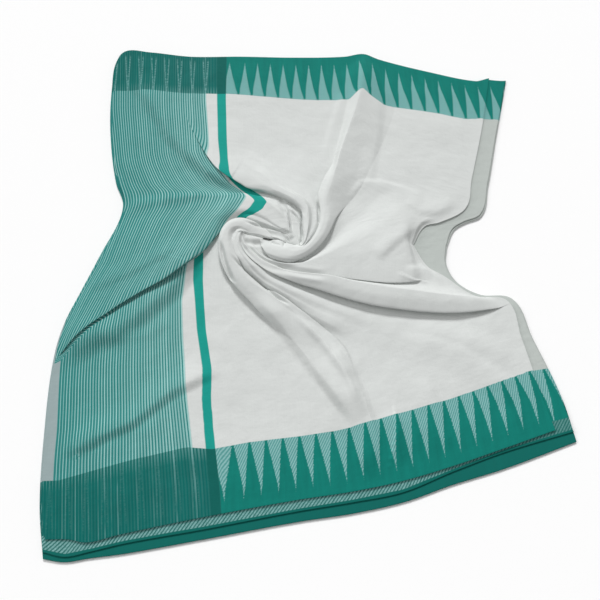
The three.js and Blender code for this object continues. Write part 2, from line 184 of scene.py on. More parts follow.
def along(values, level):
    """Smooth curves through rows of evenly spaced values, read at levels. Never overshoots."""
    values = np.asarray(values, float)
    rise = np.diff(values, axis=-1)
    before, after = rise[..., :-1], rise[..., 1:]
    same = before * after > 0
    total = np.where(same, before + after, 1.0)
    inner = np.where(same, 2 * before * after / total, 0.0)
    slope = np.concatenate([rise[..., :1], inner, rise[..., -1:]], -1)
    i = np.minimum(np.floor(level).astype(int), values.shape[-1] - 2)
    return curve(values[..., i], rise[..., i], slope[..., i], slope[..., i + 1], level - i)


def edge_points(places, layer):
    """Places along the edge of a layer, rounded between its corners."""
    rows = np.array(EDGE, float)
    points = rows[:, :2] + (rows[:, 2 * layer : 2 * layer + 2] if layer else 0)
    count = len(points)
    step = np.roll(points, -1, 0) - points
    length = np.linalg.norm(step, axis=1, keepdims=True)
    heading = step / length
    turned = heading + np.roll(heading, 1, 0)
    turned /= np.linalg.norm(turned, axis=1, keepdims=True)
    leaving, arriving = turned.copy(), turned.copy()
    for corner in SHARP_CORNERS:
        leaving[corner] = heading[corner]
        arriving[corner] = heading[corner - 1]
    i = np.floor(places).astype(int)
    t = (places - i)[:, None]
    i %= count
    j = (i + 1) % count
    return curve(points[i], step[i], leaving[i] * length[i], arriving[j] * length[i], t)


def sharpness(crease, level):
    """1 at the ring numbers where a crease is a real edge, fading to 0 outside them."""
    if not crease:
        return 0 * level
    _, inner, outer = crease
    begun = smooth(np.clip((level - inner) / SHARP_FADE + 1, 0, 1))
    return begun * smooth(np.clip((outer - level) / SHARP_FADE + 1, 0, 1))


def line_height(height, level):
    """Height along a fold line. It rises from the slit as a quarter circle."""
    inside = mix(height[0], height[1], np.sqrt(1 - (1 - np.minimum(level, 1)) ** 2))
    return np.where(level >= 1, along(height[1:], np.maximum(level - 1, 0)), inside)


levels = [np.linspace(a, b, n, endpoint=False) for a, b, n in ROWS_BETWEEN]
levels = np.concatenate(levels + [[EDGE_LEVEL]])


def make_grid():
    """The top sheet as rays by levels: places (mm), each ray's place on the edge, and its fold."""
    turns, places, heights, folds, leans = [], [], [], [], []
    for number, (name, crease, steps, turn, edge, height) in enumerate(FOLDS):
        last = number == len(FOLDS) - 1
        _, next_crease, _, next_turn, next_edge, next_height = FOLDS[0 if last else number + 1]
        next_turn = np.array(next_turn, float) - (360 if last else 0)
        next_edge = next_edge + (len(EDGE) if last else 0)
        falls_back = crease and crease[0] == "cw"
        falls_ahead = next_crease and next_crease[0] == "ccw"
        low, high = line_height(height, levels), line_height(next_height, levels)
        start_share = sharpness(crease, levels)
        end_share = sharpness(next_crease, levels) * (1 - start_share)
        for k in range(steps * RAY_DETAIL):
            t = k / (steps * RAY_DETAIL)
            # The steep side of a roll stands out past its foot.
            lean = 0 * levels
            if falls_back:
                t = t**CREASE_CROWDING
                lean = -sharpness(crease, levels) * lip(t)
            elif falls_ahead:
                t = 1 - (1 - t) ** CREASE_CROWDING
                lean = sharpness(next_crease, levels) * lip(1 - t)
            start = round_side(1 - t) if falls_back else smooth(t)
            end = 1 - round_side(t) if falls_ahead else smooth(t)
            plain = mix(smooth(t), t, FACET_SHARE) if name in FACETS else smooth(t)
            share = plain * (1 - start_share - end_share) + start * start_share + end * end_share
            turns.append(mix(np.array(turn, float), next_turn, t))
            places.append(mix(edge, next_edge, t))
            heights.append(mix(low, high, share))
            folds.append(number + t)
            leans.append(lean)
    turns, places, heights, leans = map(np.array, (turns, places, heights, leans))
    edge = edge_points(places, 0) - OUTER
    radius = np.linalg.norm(edge, axis=1)
    far = turns[:, -1]
    to_edge = (np.degrees(np.arctan2(edge[:, 1], edge[:, 0])) - far + 180) % 360 - 180
    turned = np.column_stack([turns, far + WIDE_SHARE * to_edge, far + to_edge])
    angle = np.radians(along(turned, levels))
    rings = np.array(RINGS, float)
    ones = np.ones(len(places))

    def by_level(k, at_wide, at_edge):
        """Column k of RINGS, then its values at the wide ring and the edge, along every ray."""
        inner = [ones * value for value in rings[:, k]]
        return along(np.column_stack(inner + [ones * at_wide, ones * at_edge]), levels)

    cx, cy = (by_level(k, OUTER[k], OUTER[k]) for k in (0, 1))
    wide = mix(rings[-1, 2], radius, WIDE_SHARE)
    rx, ry = (by_level(k, wide, radius) for k in (2, 3))
    tilt = np.radians(by_level(4, 0, 0))
    x, y = rx * np.cos(angle), ry * np.sin(angle)
    plan_x = cx + x * np.cos(tilt) - y * np.sin(tilt)
    plan_y = cy + x * np.sin(tilt) + y * np.cos(tilt)
    return np.stack([plan_x, plan_y, heights], -1), places, np.array(folds), leans


def round_side(t):
    """Height of a roll's side at share t of the way from its crest to its foot."""
    return (1 - t**ROUNDNESS) ** (1 / ROUNDNESS)


def lip(t):
    """Share of the overhang at share t of the way across a roll from its steep side."""
    return t / LIP_AT * math.exp(1 - t / LIP_AT)


grid, edge_places, fold_places, leans = make_grid()
RAYS = len(grid)


def around(values):
    """Difference of the next ray's values and the last ray's."""
    return np.roll(values, -1, 0) - np.roll(values, 1, 0)


def outward(values):
    """Difference of the next row's values and the last row's."""
    first, last = values[:, 1:2] - values[:, :1], values[:, -1:] - values[:, -2:-1]
    return np.concatenate([first, values[:, 2:] - values[:, :-2], last], 1)


def unit(vectors):
    return vectors / np.maximum(np.linalg.norm(vectors, axis=-1, keepdims=True), TINY)


def grid_normals(points):
    return unit(np.cross(around(points), outward(points)))


# Inner edges of the borders along the two selvedges, in the layout frame.
TOP_BORDER_LINE = [
    (-540, 463), (-354, 451), (-195, 445), (-30, 427), (69, 424), (84, 425), (114, 447), (134, 428),
    (162, 409), (289, 385), (344, 370), (383, 373), (480, 373),
]
LOW_BORDER_LINE = [
    (-540, -455), (-454, -452), (-349, -421), (-234, -392), (-187, -396), (-120, -383), (-30, -372),
    (61, -357), (107, -342), (153, -329), (247, -301), (344, -266), (407, -242), (500, -225),
]
# Right edge of the dark bar, where the pallu ends.
PALLU_LINE = [
    (-200, 650), (-195, 462), (-191, 425), (-183, 308), (-178, 245), (-168, 210), (-145, 188), (-119, 173),
    (-98, 154), (-109, 118), (-134, 96), (-154, 88), (-180, 84), (-200, 60), (-222, 20), (-227, -8),
    (-226, -50), (-219, -96), (-212, -161), (-193, -245), (-179, -304), (-171, -398), (-164, -461),
    (-162, -650),
]
# Start and end of the striped zone, then the bar's two edges, in the photograph's pixels, above and
# below the lobe's edge, where a tuck takes up some of the length.
WOVEN_ABOVE = [
    [(105, 40), (104, 110), (109, 165), (118, 204), (97, 262), (81, 290), (66, 322), (50, 352)],
    [(206, 40), (206, 100), (209, 140), (210, 155), (215, 165), (223, 176), (232, 186), (242, 190),
     (247, 193), (245, 198), (238, 209), (228, 219), (215, 241), (200, 269), (155, 355)],
    [(217, 40), (217, 100), (218, 140), (221, 168), (228, 179), (238, 188), (249, 193.6),
     (255, 196), (249, 208), (240, 213), (235, 219), (222, 240), (208, 269), (163, 355)],
    [(227, 40), (226, 100), (227, 140), (228, 160), (230, 173), (240, 181), (256, 188), (268, 196),
     (262, 210), (254, 213), (246, 219), (236, 240), (222, 269), (177, 355)],
]
WOVEN_BELOW = [
    [(72, 300), (68, 320), (65, 330), (60, 365), (59, 380), (57, 430), (54, 462), (53, 480),
     (52, 560)],
    [(200, 240), (188, 268), (182, 300), (183, 340), (187, 400), (192, 445), (196, 485),
     (200, 560)],
    [(196, 240), (194.5, 262), (193, 280), (195, 300), (197, 330), (203, 370), (202, 400),
     (206, 450), (209, 485), (214, 560)],
    [(204, 240), (203.5, 262), (203, 280), (204, 300), (206, 330), (212, 370), (211, 400),
     (215, 450), (219, 485), (225, 560)],
]

# The same lines along the woven length, the loom width, a border's width, and the length over
# which the body takes over from the pallu, in metres.
STRIPES_FROM, STRIPES_TO, BAR_FROM, BAR_TO = 0.025, 0.262, 0.283, 0.300
WIDTH, BORDER = 1.17, 0.115
BODY_FADE = 0.03
# Corners of pixel lines are rounded by a mean over these pixels up and down. Two lines stay at
# least this many pixels apart.
ROUNDING = (-3, -2, -1, 0, 1, 2, 3)
NARROWEST = 1.0


def read_line(line, from_axis, place):
    """The line's other coordinate where the one called from_axis is place."""
    points = np.array(line, float)
    points = points[np.argsort(points[:, from_axis])]
    return np.interp(place, points[:, from_axis], points[:, 1 - from_axis])


def across_cloth(points, outline):
    """Distance across the loom width, in metres, from the low selvedge of the outline's layer."""
    x, y = points[..., 0], points[..., 1]
    top_edge = [outline[-1]] + outline[: TOP_RIGHT + 1]
    low_edge = outline[LOW_RIGHT : LOW_LEFT + 1]
    lines = (low_edge, LOW_BORDER_LINE, TOP_BORDER_LINE, top_edge)
    low, low_border, top_border, top = (read_line(line, 0, x) for line in lines)
    between = WIDTH - BORDER - BORDER
    v = BORDER + (y - low_border) / (top_border - low_border) * between
    v = np.where(y < low_border, BORDER * (y - low) / (low_border - low), v)
    return np.where(y > top_border, WIDTH - BORDER * (top - y) / (top - top_border), v)


def length_on_floor(points):
    """Distance along the length, in metres, on the plain body, as measured on the floor."""
    return BAR_TO + (points[..., 0] - read_line(PALLU_LINE, 1, points[..., 1])) * MM


def along_cloth(points, above):
    """Distance along the length, in metres, from the hem of the striped end."""
    across_view, down_view, depth = seen_at(points)
    per_pixel = depth / PHOTO_FOCAL * MM

    def rounded(line):
        return np.mean([read_line(line, 1, down_view + down) for down in ROUNDING], 0)

    def lengths(lines):
        knots = [rounded(line) for line in lines]
        values = [STRIPES_FROM, STRIPES_TO, BAR_FROM, BAR_TO]
        u = values[0] + (across_view - knots[0]) * per_pixel
        for k in range(3):
            gap = np.maximum(knots[k + 1] - knots[k], NARROWEST)
            inside = values[k] + (across_view - knots[k]) / gap * (values[k + 1] - values[k])
            u = np.where(across_view > knots[k], inside, u)
        past_bar = BAR_TO + (across_view - knots[3]) * per_pixel
        return np.where(across_view > knots[3], past_bar, u)

    u = np.where(above, lengths(WOVEN_ABOVE), lengths(WOVEN_BELOW))
    # On the plain body the length runs on from the dark bar.
    return mix(u, length_on_floor(points), smooth(np.clip((u - BAR_TO) / BODY_FADE, 0, 1)))


FOLD_NUMBER = {row[0]: number for number, row in enumerate(FOLDS)}
is_above = (fold_places >= FOLD_NUMBER["lobe edge"]) | (fold_places < FOLD_NUMBER["hump back"])
cloth_u = along_cloth(grid, is_above[:, None])
cloth_v = across_cloth(grid, EDGE)

# Creases: kind, half width in mm, height in mm, and the crease's line in the photograph's
# pixels. A lip stands up on the left of its line, as one walks along it, and falls
# steeply on the right. A drop is high on the left and low on the right. A slit is a narrow deep
# groove, a valley is a shallow one with raised banks, and a ridge is a plain rise. A fill raises
# what is lower than its height.
CREASES = [
    # the swirl
    ("slit", 2.6, 7, [(244, 221), (255, 224), (265, 227), (275, 230), (283, 232), (294, 230)]),
    ("slit", 2.4, 5, [(238, 231.5), (250, 235.5), (260, 239), (270, 241.5), (280, 245), (284, 247)]),
    ("slit", 2, 3, [(283, 248), (284, 243), (290, 238), (296, 234)]),
    ("slit", 2.4, 4, [(301, 212), (302, 225), (302, 236), (301, 242), (303, 248)]),
    ("slit", 2.2, 4, [(290, 210), (296, 216), (301, 224), (302, 238)]),
    ("slit", 2.2, 4, [(285, 204), (288, 212), (290, 221), (291, 232)]),
    ("valley", 6, 2.5, [(279, 200), (284, 207), (287, 215)]),
    ("valley", 4.5, 2.5, [(243, 241), (254, 244), (265, 244)]),
    ("slit", 2.6, 5, [(258, 251), (270, 256), (280, 259.5), (290, 261.5), (302, 261), (314, 257)]),
    ("slit", 4, 9, [(220.5, 240), (222, 250), (224, 259), (227, 268), (231, 278), (234, 284)]),
    ("slit", 2.6, 7, [(228, 252), (236, 260), (245, 269), (254, 277), (263, 285), (278, 298), (292, 307)]),
    ("valley", 7, 2.5, [(262, 262), (275, 268), (300, 273), (330, 277)]),
    ("ridge", 8, 2, [(236, 250), (250, 262), (272, 275), (300, 288)]),
    ("drop", 10, 2.5, [(309, 208), (300, 194), (286, 181), (262, 160), (236, 144)]),
    ("fill", 10, 36.5, [(247, 228), (240, 233), (236, 242), (237, 252), (242, 264)]),
    ("fill", 13, 34, [(236, 233), (250, 237.5), (264, 241), (284, 245)]),
    ("fill", 15, 27, [(240, 211), (258, 219), (275, 226), (294, 231)]),
    # the striped end
    ("drop", 10, 7.5, [
        (50, 461), (80, 452), (107, 438), (134, 426), (153, 411), (172, 396), (193, 386), (230, 370),
    ]),
    ("drop", 14, 11, [
        (118, 84), (140, 95), (155, 118), (167, 140), (186, 160), (205, 177), (226, 188), (252, 194),
    ]),
    ("ridge", 12, 3, [(119, 206), (150, 203), (180, 198), (212, 193)]),
    ("drop", 8, 2.5, [(84, 292), (115, 282), (150, 265), (190, 244)]),
    ("ridge", 16, 2.5, [(120, 532), (128, 490), (140, 450), (150, 410)]),
    ("drop", 9, 2, [(72, 330), (110, 345), (150, 338), (178, 320)]),
    ("drop", 10, 2.5, [(93, 150), (120, 168), (150, 190), (178, 205)]),
    ("drop", 17, 13, [(44, 366), (80, 352), (117, 338), (150, 315), (180, 290), (197, 266), (208, 236)]),
    # right of the swirl
    ("slit", 2.2, 4, [(318, 200), (318.5, 212), (319, 226)]),
    ("drop", 8, 3, [(430, 196), (400, 186), (380, 181), (360, 181), (345, 200)]),
    ("lip", 6, 3, [(430, 283), (415, 281), (404, 276), (396, 272)]),
    ("drop", 8, 4, [(452, 281), (436, 270), (420, 266), (402, 268)]),
    ("drop", 8, 4, [(378, 262), (394, 246), (406, 236), (424, 228)]),
    ("drop", 9, 3, [(400, 202), (420, 214), (440, 214), (462, 205)]),
    ("ridge", 24, 3.5, [(415, 322), (445, 334), (480, 346), (522, 362)]),
    ("drop", 11, 3, [(535, 388), (500, 372), (465, 350), (430, 338), (395, 335)]),
    ("drop", 8, 2.5, [(560, 412), (520, 330), (505, 312)]),
    # the low middle
    ("ridge", 8, 5, [(290, 311), (305, 324), (322, 341), (344, 372), (357, 398), (366, 418)]),
    ("drop", 6, 5.5, [(386, 470), (380, 436), (368, 402), (355, 372), (340, 350), (326, 335)]),
    ("drop", 8, 5, [(258, 281), (277, 297), (290, 307), (303, 315), (325, 326), (350, 339)]),
    ("drop", 9, 9, [(250, 296), (265, 313), (290, 343), (315, 376), (332, 397), (356, 428)]),
    ("lip", 9, 3, [(393, 400), (397, 430), (392, 455), (388, 478)]),
    ("drop", 8, 2.5, [(398, 480), (404, 455), (402, 430), (392, 405)]),
    ("drop", 8, 2.5, [(455, 464), (448, 430), (438, 400), (425, 370)]),
    # the top
    ("drop", 9, 2.5, [(371, 192), (375, 165), (380, 135), (386, 92)]),
    ("drop", 7, 3, [(347, 57), (342, 90), (330, 125), (322, 160)]),
    ("ridge", 6, 2.5, [(489, 78), (484, 100), (480, 130)]),
]
# Share of a crease's length over which each end fades, and the half widths that it reaches.
TAPER = 0.22
REACH = 4
DROP_REACH = 8
# How fast a drop fades past its half width, the foot of a lip in mm, and a valley's banks: height
# as a share, place and width in half widths.
DROP_FADE = 0.12
LIP_FOOT = 2.0
BANK_HEIGHT, BANK_AT, BANK_WIDTH = 0.6, 1.8, 0.9


def crease_height(points, kind, half_width, height, pixels):
    """Height that one crease adds at points of the sheet."""
    x, y = floor_places(points)
    line = on_cloth(pixels)
    pad = DROP_REACH * half_width if kind == "drop" else REACH * (half_width + 1)
    (low_x, low_y), (high_x, high_y) = line.min(0) - pad, line.max(0) + pad
    near = (x > low_x) & (x < high_x) & (y > low_y) & (y < high_y)
    added = np.zeros_like(x)
    px, py = x[near], y[near]
    # Distance from the line, which side of it, and share of the way along it.
    best = np.full(px.shape, np.inf)
    side = np.zeros(px.shape)
    share = np.zeros(px.shape)
    steps = np.diff(line, axis=0)
    lengths = np.linalg.norm(steps, axis=1)
    walked = np.concatenate([[0], np.cumsum(lengths)])
    for start, step, length, before in zip(line[:-1], steps, lengths, walked):
        ux, uy = step / length
        dx, dy = px - start[0], py - start[1]
        t = np.clip(dx * ux + dy * uy, 0, length)
        away = np.hypot(dx - t * ux, dy - t * uy)
        closer = away < best
        best = np.where(closer, away, best)
        side = np.where(closer, ux * dy - uy * dx, side)
        share = np.where(closer, (before + t) / walked[-1], share)
    fade = smooth(np.clip(np.minimum(share, 1 - share) / TAPER, 0, 1))
    t = best / half_width
    if kind == "lip":
        profile = np.where(side > 0, np.exp(-t), np.exp(-((best / LIP_FOOT) ** 2)))
    elif kind == "drop":
        t = np.sign(side) * t
        fall = np.exp(-DROP_FADE * np.maximum(t - 1, 0) ** 2)
        profile = smooth(np.clip(0.5 + 0.5 * t, 0, 1)) * fall
    elif kind == "fill":
        profile = np.exp(-(t**4)) * np.maximum(1 - points[..., 2][near] / height, 0)
    elif kind == "valley":
        bank = np.exp(-(((t - BANK_AT) / BANK_WIDTH) ** 2))
        profile = BANK_HEIGHT * bank - np.exp(-(t**2))
    else:
        profile = np.exp(-(t**2))
    added[near] = height * fade * profile * (-1 if kind == "slit" else 1)
    return added


def floor_places(points):
    """Where the camera sees points against the level CLOTH_HEIGHT, which on_cloth() uses."""
    share = (CAMERA_AT[2] - CLOTH_HEIGHT) / (CAMERA_AT[2] - points[..., 2])
    return (mix(CAMERA_AT[k], points[..., k], share) for k in (0, 1))


def waves(x, y, table):
    """Sum of slow waves: length in mm, direction in degrees, height in mm, start in degrees."""
    total = np.zeros_like(x)
    for length, direction, height, start in table:
        turn = math.radians(direction)
        walked = x * math.cos(turn) + y * math.sin(turn)
        total += height * np.sin(2 * math.pi * walked / length + math.radians(start))
    return total


# Small shifts that bring folds near the heart of the swirl to their places, in the photograph's
# pixels: from, to, and the radius of what moves.
NUDGES = [
    ((258, 189), (259, 193), 13), ((276, 190), (275, 197), 12), ((288, 196), (289, 204), 11),
    ((295, 206), (301, 212), 11), ((297, 222), (302, 227), 10), ((295, 236), (302, 242), 10),
    ((280, 235), (283, 232), 8), ((270, 240), (270, 242), 8),
]


def nudged(points):
    """The points with the shifts made, as far as the camera sees them."""
    seen_x, seen_y, depth = seen_at(points)
    moved_x, moved_y = np.zeros_like(seen_x), np.zeros_like(seen_y)
    total = np.zeros_like(seen_x)
    for start, finish, radius in NUDGES:
        weight = np.exp(-((seen_x - start[0]) ** 2 + (seen_y - start[1]) ** 2) / radius**2)
        moved_x += weight * (finish[0] - start[0])
        moved_y += weight * (finish[1] - start[1])
        total += weight
    share = 1 / np.maximum(total, 1.0)
    result = points.copy()
    result[..., 0] += moved_x * share * depth / PHOTO_FOCAL
    result[..., 1] -= moved_y * share * depth / PHOTO_FOCAL / PITCH_SIN
    return result


# Slow unevenness of cloth that lies on cloth, as a table for waves().
UNEVEN = [
    (310, 20, 0.55, 10), (233, 75, 0.5, 130), (171, -35, 0.4, 75), (127, 48, 0.35, 200),
    (97, -72, 0.28, 310), (71, 12, 0.2, 45), (53, 62, 0.16, 160), (41, -20, 0.12, 250),
]
# What bends the waves in x and in y: shift in mm, radians for each mm of x and of y, and at 0.
BENDS_X = [(22, 0, 1 / 61, 0.6), (9, 1 / 47, 1 / 23, 0)]
BENDS_Y = [(19, 1 / 53, 0, 1.9), (8, 1 / 27, -1 / 41, 0)]


def bend(x, y, table):
    return sum(shift * np.sin(x * by_x + y * by_y + start) for shift, by_x, by_y, start in table)


def unevenness(x, y):
    return waves(x + bend(x, y, BENDS_X), y + bend(x, y, BENDS_Y), UNEVEN)


# Lowest that the top sheet's face comes down to, and the share of a dip that is left below it.
LOWEST_TOP = 9.2
DIP_LEFT = 0.25
# How the edge settles: its level, the height past which folds still stand up, the share of dips
# and rises left, and the ring numbers from which and over which it does so.
EDGE_TOP = 9.4
EDGE_PEAKS = 15.0
SETTLE_LEFT = 0.1
SETTLE_FROM, SETTLE_OVER = 4.4, 0.55

# Steep sides of rolls lean out over their foot, clockwise or against it.
creased = nudged(grid)
creased[..., :2] += unit(around(grid[..., :2])) * (leans * OVERHANG)[..., None]
base = creased.copy()
for crease in CREASES:
    creased[..., 2] += crease_height(base, *crease)
creased[..., 2] += unevenness(grid[..., 0], grid[..., 1])
# The edge lies down on the layer below, apart from the ridge's and the rolls' own ends.
height = creased[..., 2]
settle = smooth(np.clip((levels - SETTLE_FROM) / SETTLE_OVER, 0, 1))
settled = EDGE_TOP + SETTLE_LEFT * (height - EDGE_TOP)
settled += (1 - SETTLE_LEFT) * np.maximum(height - EDGE_PEAKS, 0)
height = mix(height, np.minimum(height, settled), settle)
creased[..., 2] = np.maximum(height, LOWEST_TOP + DIP_LEFT * (height - LOWEST_TOP))

# How far the slit's floor lies below its lips, in mm, and how much of that its upper row adds.
SLIT_DROP = 5.0
SLIT_CURVE = 0.2

# Rows that turn the edge under, towards a row of the grid: how far in and how far down, in mm.
HEM = [(0.0, 0.5), (0.5, 1.0), (3.0, 1.25), (9.0, 1.3)]
HEM_TOWARDS = -4


def with_slit(points):
    """The grid with two rows that close the slit, a little below its lips."""
    x, y, _, _, tilt = RINGS[0]
    turn = math.radians(tilt)
    heading = np.array([math.cos(turn), math.sin(turn)])
    first = points[:, 0]
    reach = ((first[:, :2] - (x, y)) @ heading)[:, None]
    closed = first.copy()
    closed[:, :2] = (x, y) + reach * heading
    closed[:, 2] -= SLIT_DROP
    half = mix(first, closed, 0.5)
    half[:, 2] -= SLIT_DROP * SLIT_CURVE
    return np.concatenate([closed[:, None], half[:, None], points], 1)


def with_hem(points):
    """The grid with rows that turn its edge under."""
    edge = points[:, -1]
    inward = unit(points[:, HEM_TOWARDS, :2] - edge[:, :2])
    rows = [points]
    for inset, drop in HEM:
        row = edge.copy()
        row[:, :2] += inward * inset
        row[:, 2] -= drop
        rows.append(row[:, None])
    return np.concatenate(rows, 1)


def to_object(points):
    """Layout places, in mm, as places in the frame, in metres."""
    placed = np.array(points, float)
    placed[..., :2] -= LAYOUT_MIDDLE
    return placed * MM


def add_object(name, data):
    thing = bpy.data.objects.new(name, data)
    bpy.context.scene.collection.objects.link(thing)
    return thing


def add_piece(name, points, normals, quads, uv, material):
    """One mesh object from shared grid points. quads index the flattened grid."""
    used, inverse = np.unique(quads.ravel(), return_inverse=True)
    faces = inverse.reshape(-1, 4)
    mesh = bpy.data.meshes.new(name)
    mesh.from_pydata(to_object(points[used]).tolist(), [], faces.tolist())
    mesh.update()
    layer = mesh.uv_layers.new(name="cloth")
    corners = np.empty(len(mesh.loops), dtype=np.int32)
    mesh.loops.foreach_get("vertex_index", corners)
    layer.data.foreach_set("uv", uv[used][corners].astype(np.float32).ravel())
    mesh.polygons.foreach_set("use_smooth", np.ones(len(mesh.polygons), dtype=bool))
    mesh.materials.append(material)
    mesh.normals_split_custom_set_from_vertices(normals[used].tolist())
    return add_object(name, mesh)


def grid_quads(rays, rows):
    """Corners of the grid's faces, as places in the flattened grid. The rays close up."""
    k = np.arange(rays)[:, None]
    j = np.arange(rows - 1)[None, :]
    a, b = k * rows + j, (k + 1) % rays * rows + j
    return np.stack([a, b, b + 1, a + 1], -1).reshape(-1, 4)


def linear_channel(value):
    value /= 255
    return value / 12.92 if value <= 0.04045 else ((value + 0.055) / 1.055) ** 2.4


def linear(red, green, blue):
    """Colour for a shader from its three channels as a screen shows them."""
    return (linear_channel(red), linear_channel(green), linear_channel(blue), 1.0)


WHITE = linear(211, 214, 212)
# The lower layers' white is darker than the body white: painted shade for where they lie under the top
# sheet.
LOWER_PAINTED_SHADE_WHITE = linear(186, 192, 188)
# Grey of the white hem margin: painted shade.
MARGIN_PAINTED_SHADE = linear(152, 168, 169)
BORDER_GREEN = linear(15, 131, 119)
BORDER_DEEP = linear(10, 107, 98)
SPIRE_GREY = linear(138, 186, 184)
SPIRE_DARK = linear(80, 148, 144)
PALLU_BORDER = linear(7, 110, 103)
PALLU_DEEP = linear(5, 90, 85)
STRIPE_TEAL = linear(46, 128, 124)
STRIPE_LIGHT = linear(156, 200, 196)
BAR_TEAL = linear(28, 152, 140)
BAR_DEEP = linear(14, 96, 89)
LOWER_GREEN = linear(16, 98, 91)

# From one stripe, spire, tick or thread to the next, in metres, and where the spires start.
STRIPE_PITCH = 0.00539
SPIRE_PITCH = 0.0302
SPIRE_START = 0.306
TICK_PITCH = 0.0068
THREAD_PITCH = 0.0011
# A spire: share of the border past its tip, width at its foot, how its sides narrow, bend and
# waver, and its woven steps for each metre.
SPIRE_TIP = 0.13
SPIRE_FOOT = 1.02
SPIRE_TAPER = 0.92
SPIRE_BEND = 1.12
SPIRE_RAGGED = 0.22
STAIRS = 210.0
# Slanted hatching of the spires: lines for each metre of length and of width.
HATCH_ALONG, HATCH_ACROSS = 200.0, 120.0
# Dark share of a fine stripe near the hem, and how much less it is near the body.
DARK_SHARE, DARK_FALL = 0.76, 0.33
# The band of ticks at the lower layers' selvedge, and where along the length it has faded.
BAND_FROM, BAND_TO = 0.0042, 0.025
BAND_FADE_AT = 0.72
# Cells of noise for each metre, along and across.
THREAD_CELLS = (9.0, 640.0)
STREAK_CELLS = (90.0, 11.0)
RAGGED_CELLS = (120.0, 420.0)
PATCH_CELLS = 9.0
GRAIN_CELLS = 420.0
CRUMPLE_CELLS = 38.0
# Brightness of the dye, and how much threads and patches change it.
DYE, DYE_THREADS, DYE_PATCHES = 0.90, 0.07, 0.06


class Net:
    """Small helper that writes sums as shader nodes."""

    def __init__(self, tree):
        self.tree = tree

    def put(self, socket, value):
        if isinstance(value, (int, float, tuple)):
            socket.default_value = value
        else:
            self.tree.links.new(value, socket)

    def node(self, kind, inputs=()):
        """A new node. inputs are pairs of a socket's name or number and its value."""
        node = self.tree.nodes.new("ShaderNode" + kind)
        for name, value in inputs:
            self.put(node.inputs[name], value)
        return node

    def math(self, operation, *values, clamp=False):
        node = self.node("Math", enumerate(values))
        node.operation = operation
        node.use_clamp = clamp
        return node.outputs[0]

    def plus(self, a, b, clamp=False):
        return self.math("ADD", a, b, clamp=clamp)

    def less(self, a, b):
        return self.math("SUBTRACT", a, b)

    def times(self, a, b):
        return self.math("MULTIPLY", a, b)

    def ratio(self, a, b, clamp=False):
        return self.math("DIVIDE", a, b, clamp=clamp)

    def line(self, value, slope, start, clamp=False):
        return self.math("MULTIPLY_ADD", value, slope, start, clamp=clamp)

    def step(self, value, at, soft):
        """0 below at, 1 above it, with a soft edge."""
        return self.line(self.less(value, at), 1 / soft, 0.5, clamp=True)

    def before(self, value, at, soft):
        """1 below at, 0 above it, with a soft edge."""
        return self.less(1.0, self.step(value, at, soft))

    def blend(self, share, a, b):
        """Colour a where share is 0 and b where it is 1. Sockets 6 and 7 are the colours."""
        node = self.node("Mix", [("Factor", share)])
        node.data_type = "RGBA"
        self.put(node.inputs[6], a)
        self.put(node.inputs[7], b)
        return node.outputs[2]

    def vector(self, x, y):
        return self.node("CombineXYZ", [("X", x), ("Y", y)]).outputs[0]

    def noise(self, vector, cells, detail, rough=0.55):
        inputs = [("Vector", vector), ("Scale", cells), ("Detail", detail), ("Roughness", rough)]
        return self.node("TexNoise", inputs).outputs["Fac"]

    def drawn_noise(self, u, v, cells, detail):
        """Noise with its own number of cells for each metre both ways."""
        place = self.vector(self.times(u, cells[0]), self.times(v, cells[1]))
        return self.noise(place, 1.0, detail)

    def chance(self, number):
        """An even random value for each whole number."""
        node = self.node("TexWhiteNoise")
        node.noise_dimensions = "1D"
        self.put(node.inputs["W"], number)
        return node.outputs["Value"]

    def bump(self, relief, strength, distance):
        inputs = [("Height", relief), ("Strength", strength), ("Distance", distance)]
        return self.node("Bump", inputs)


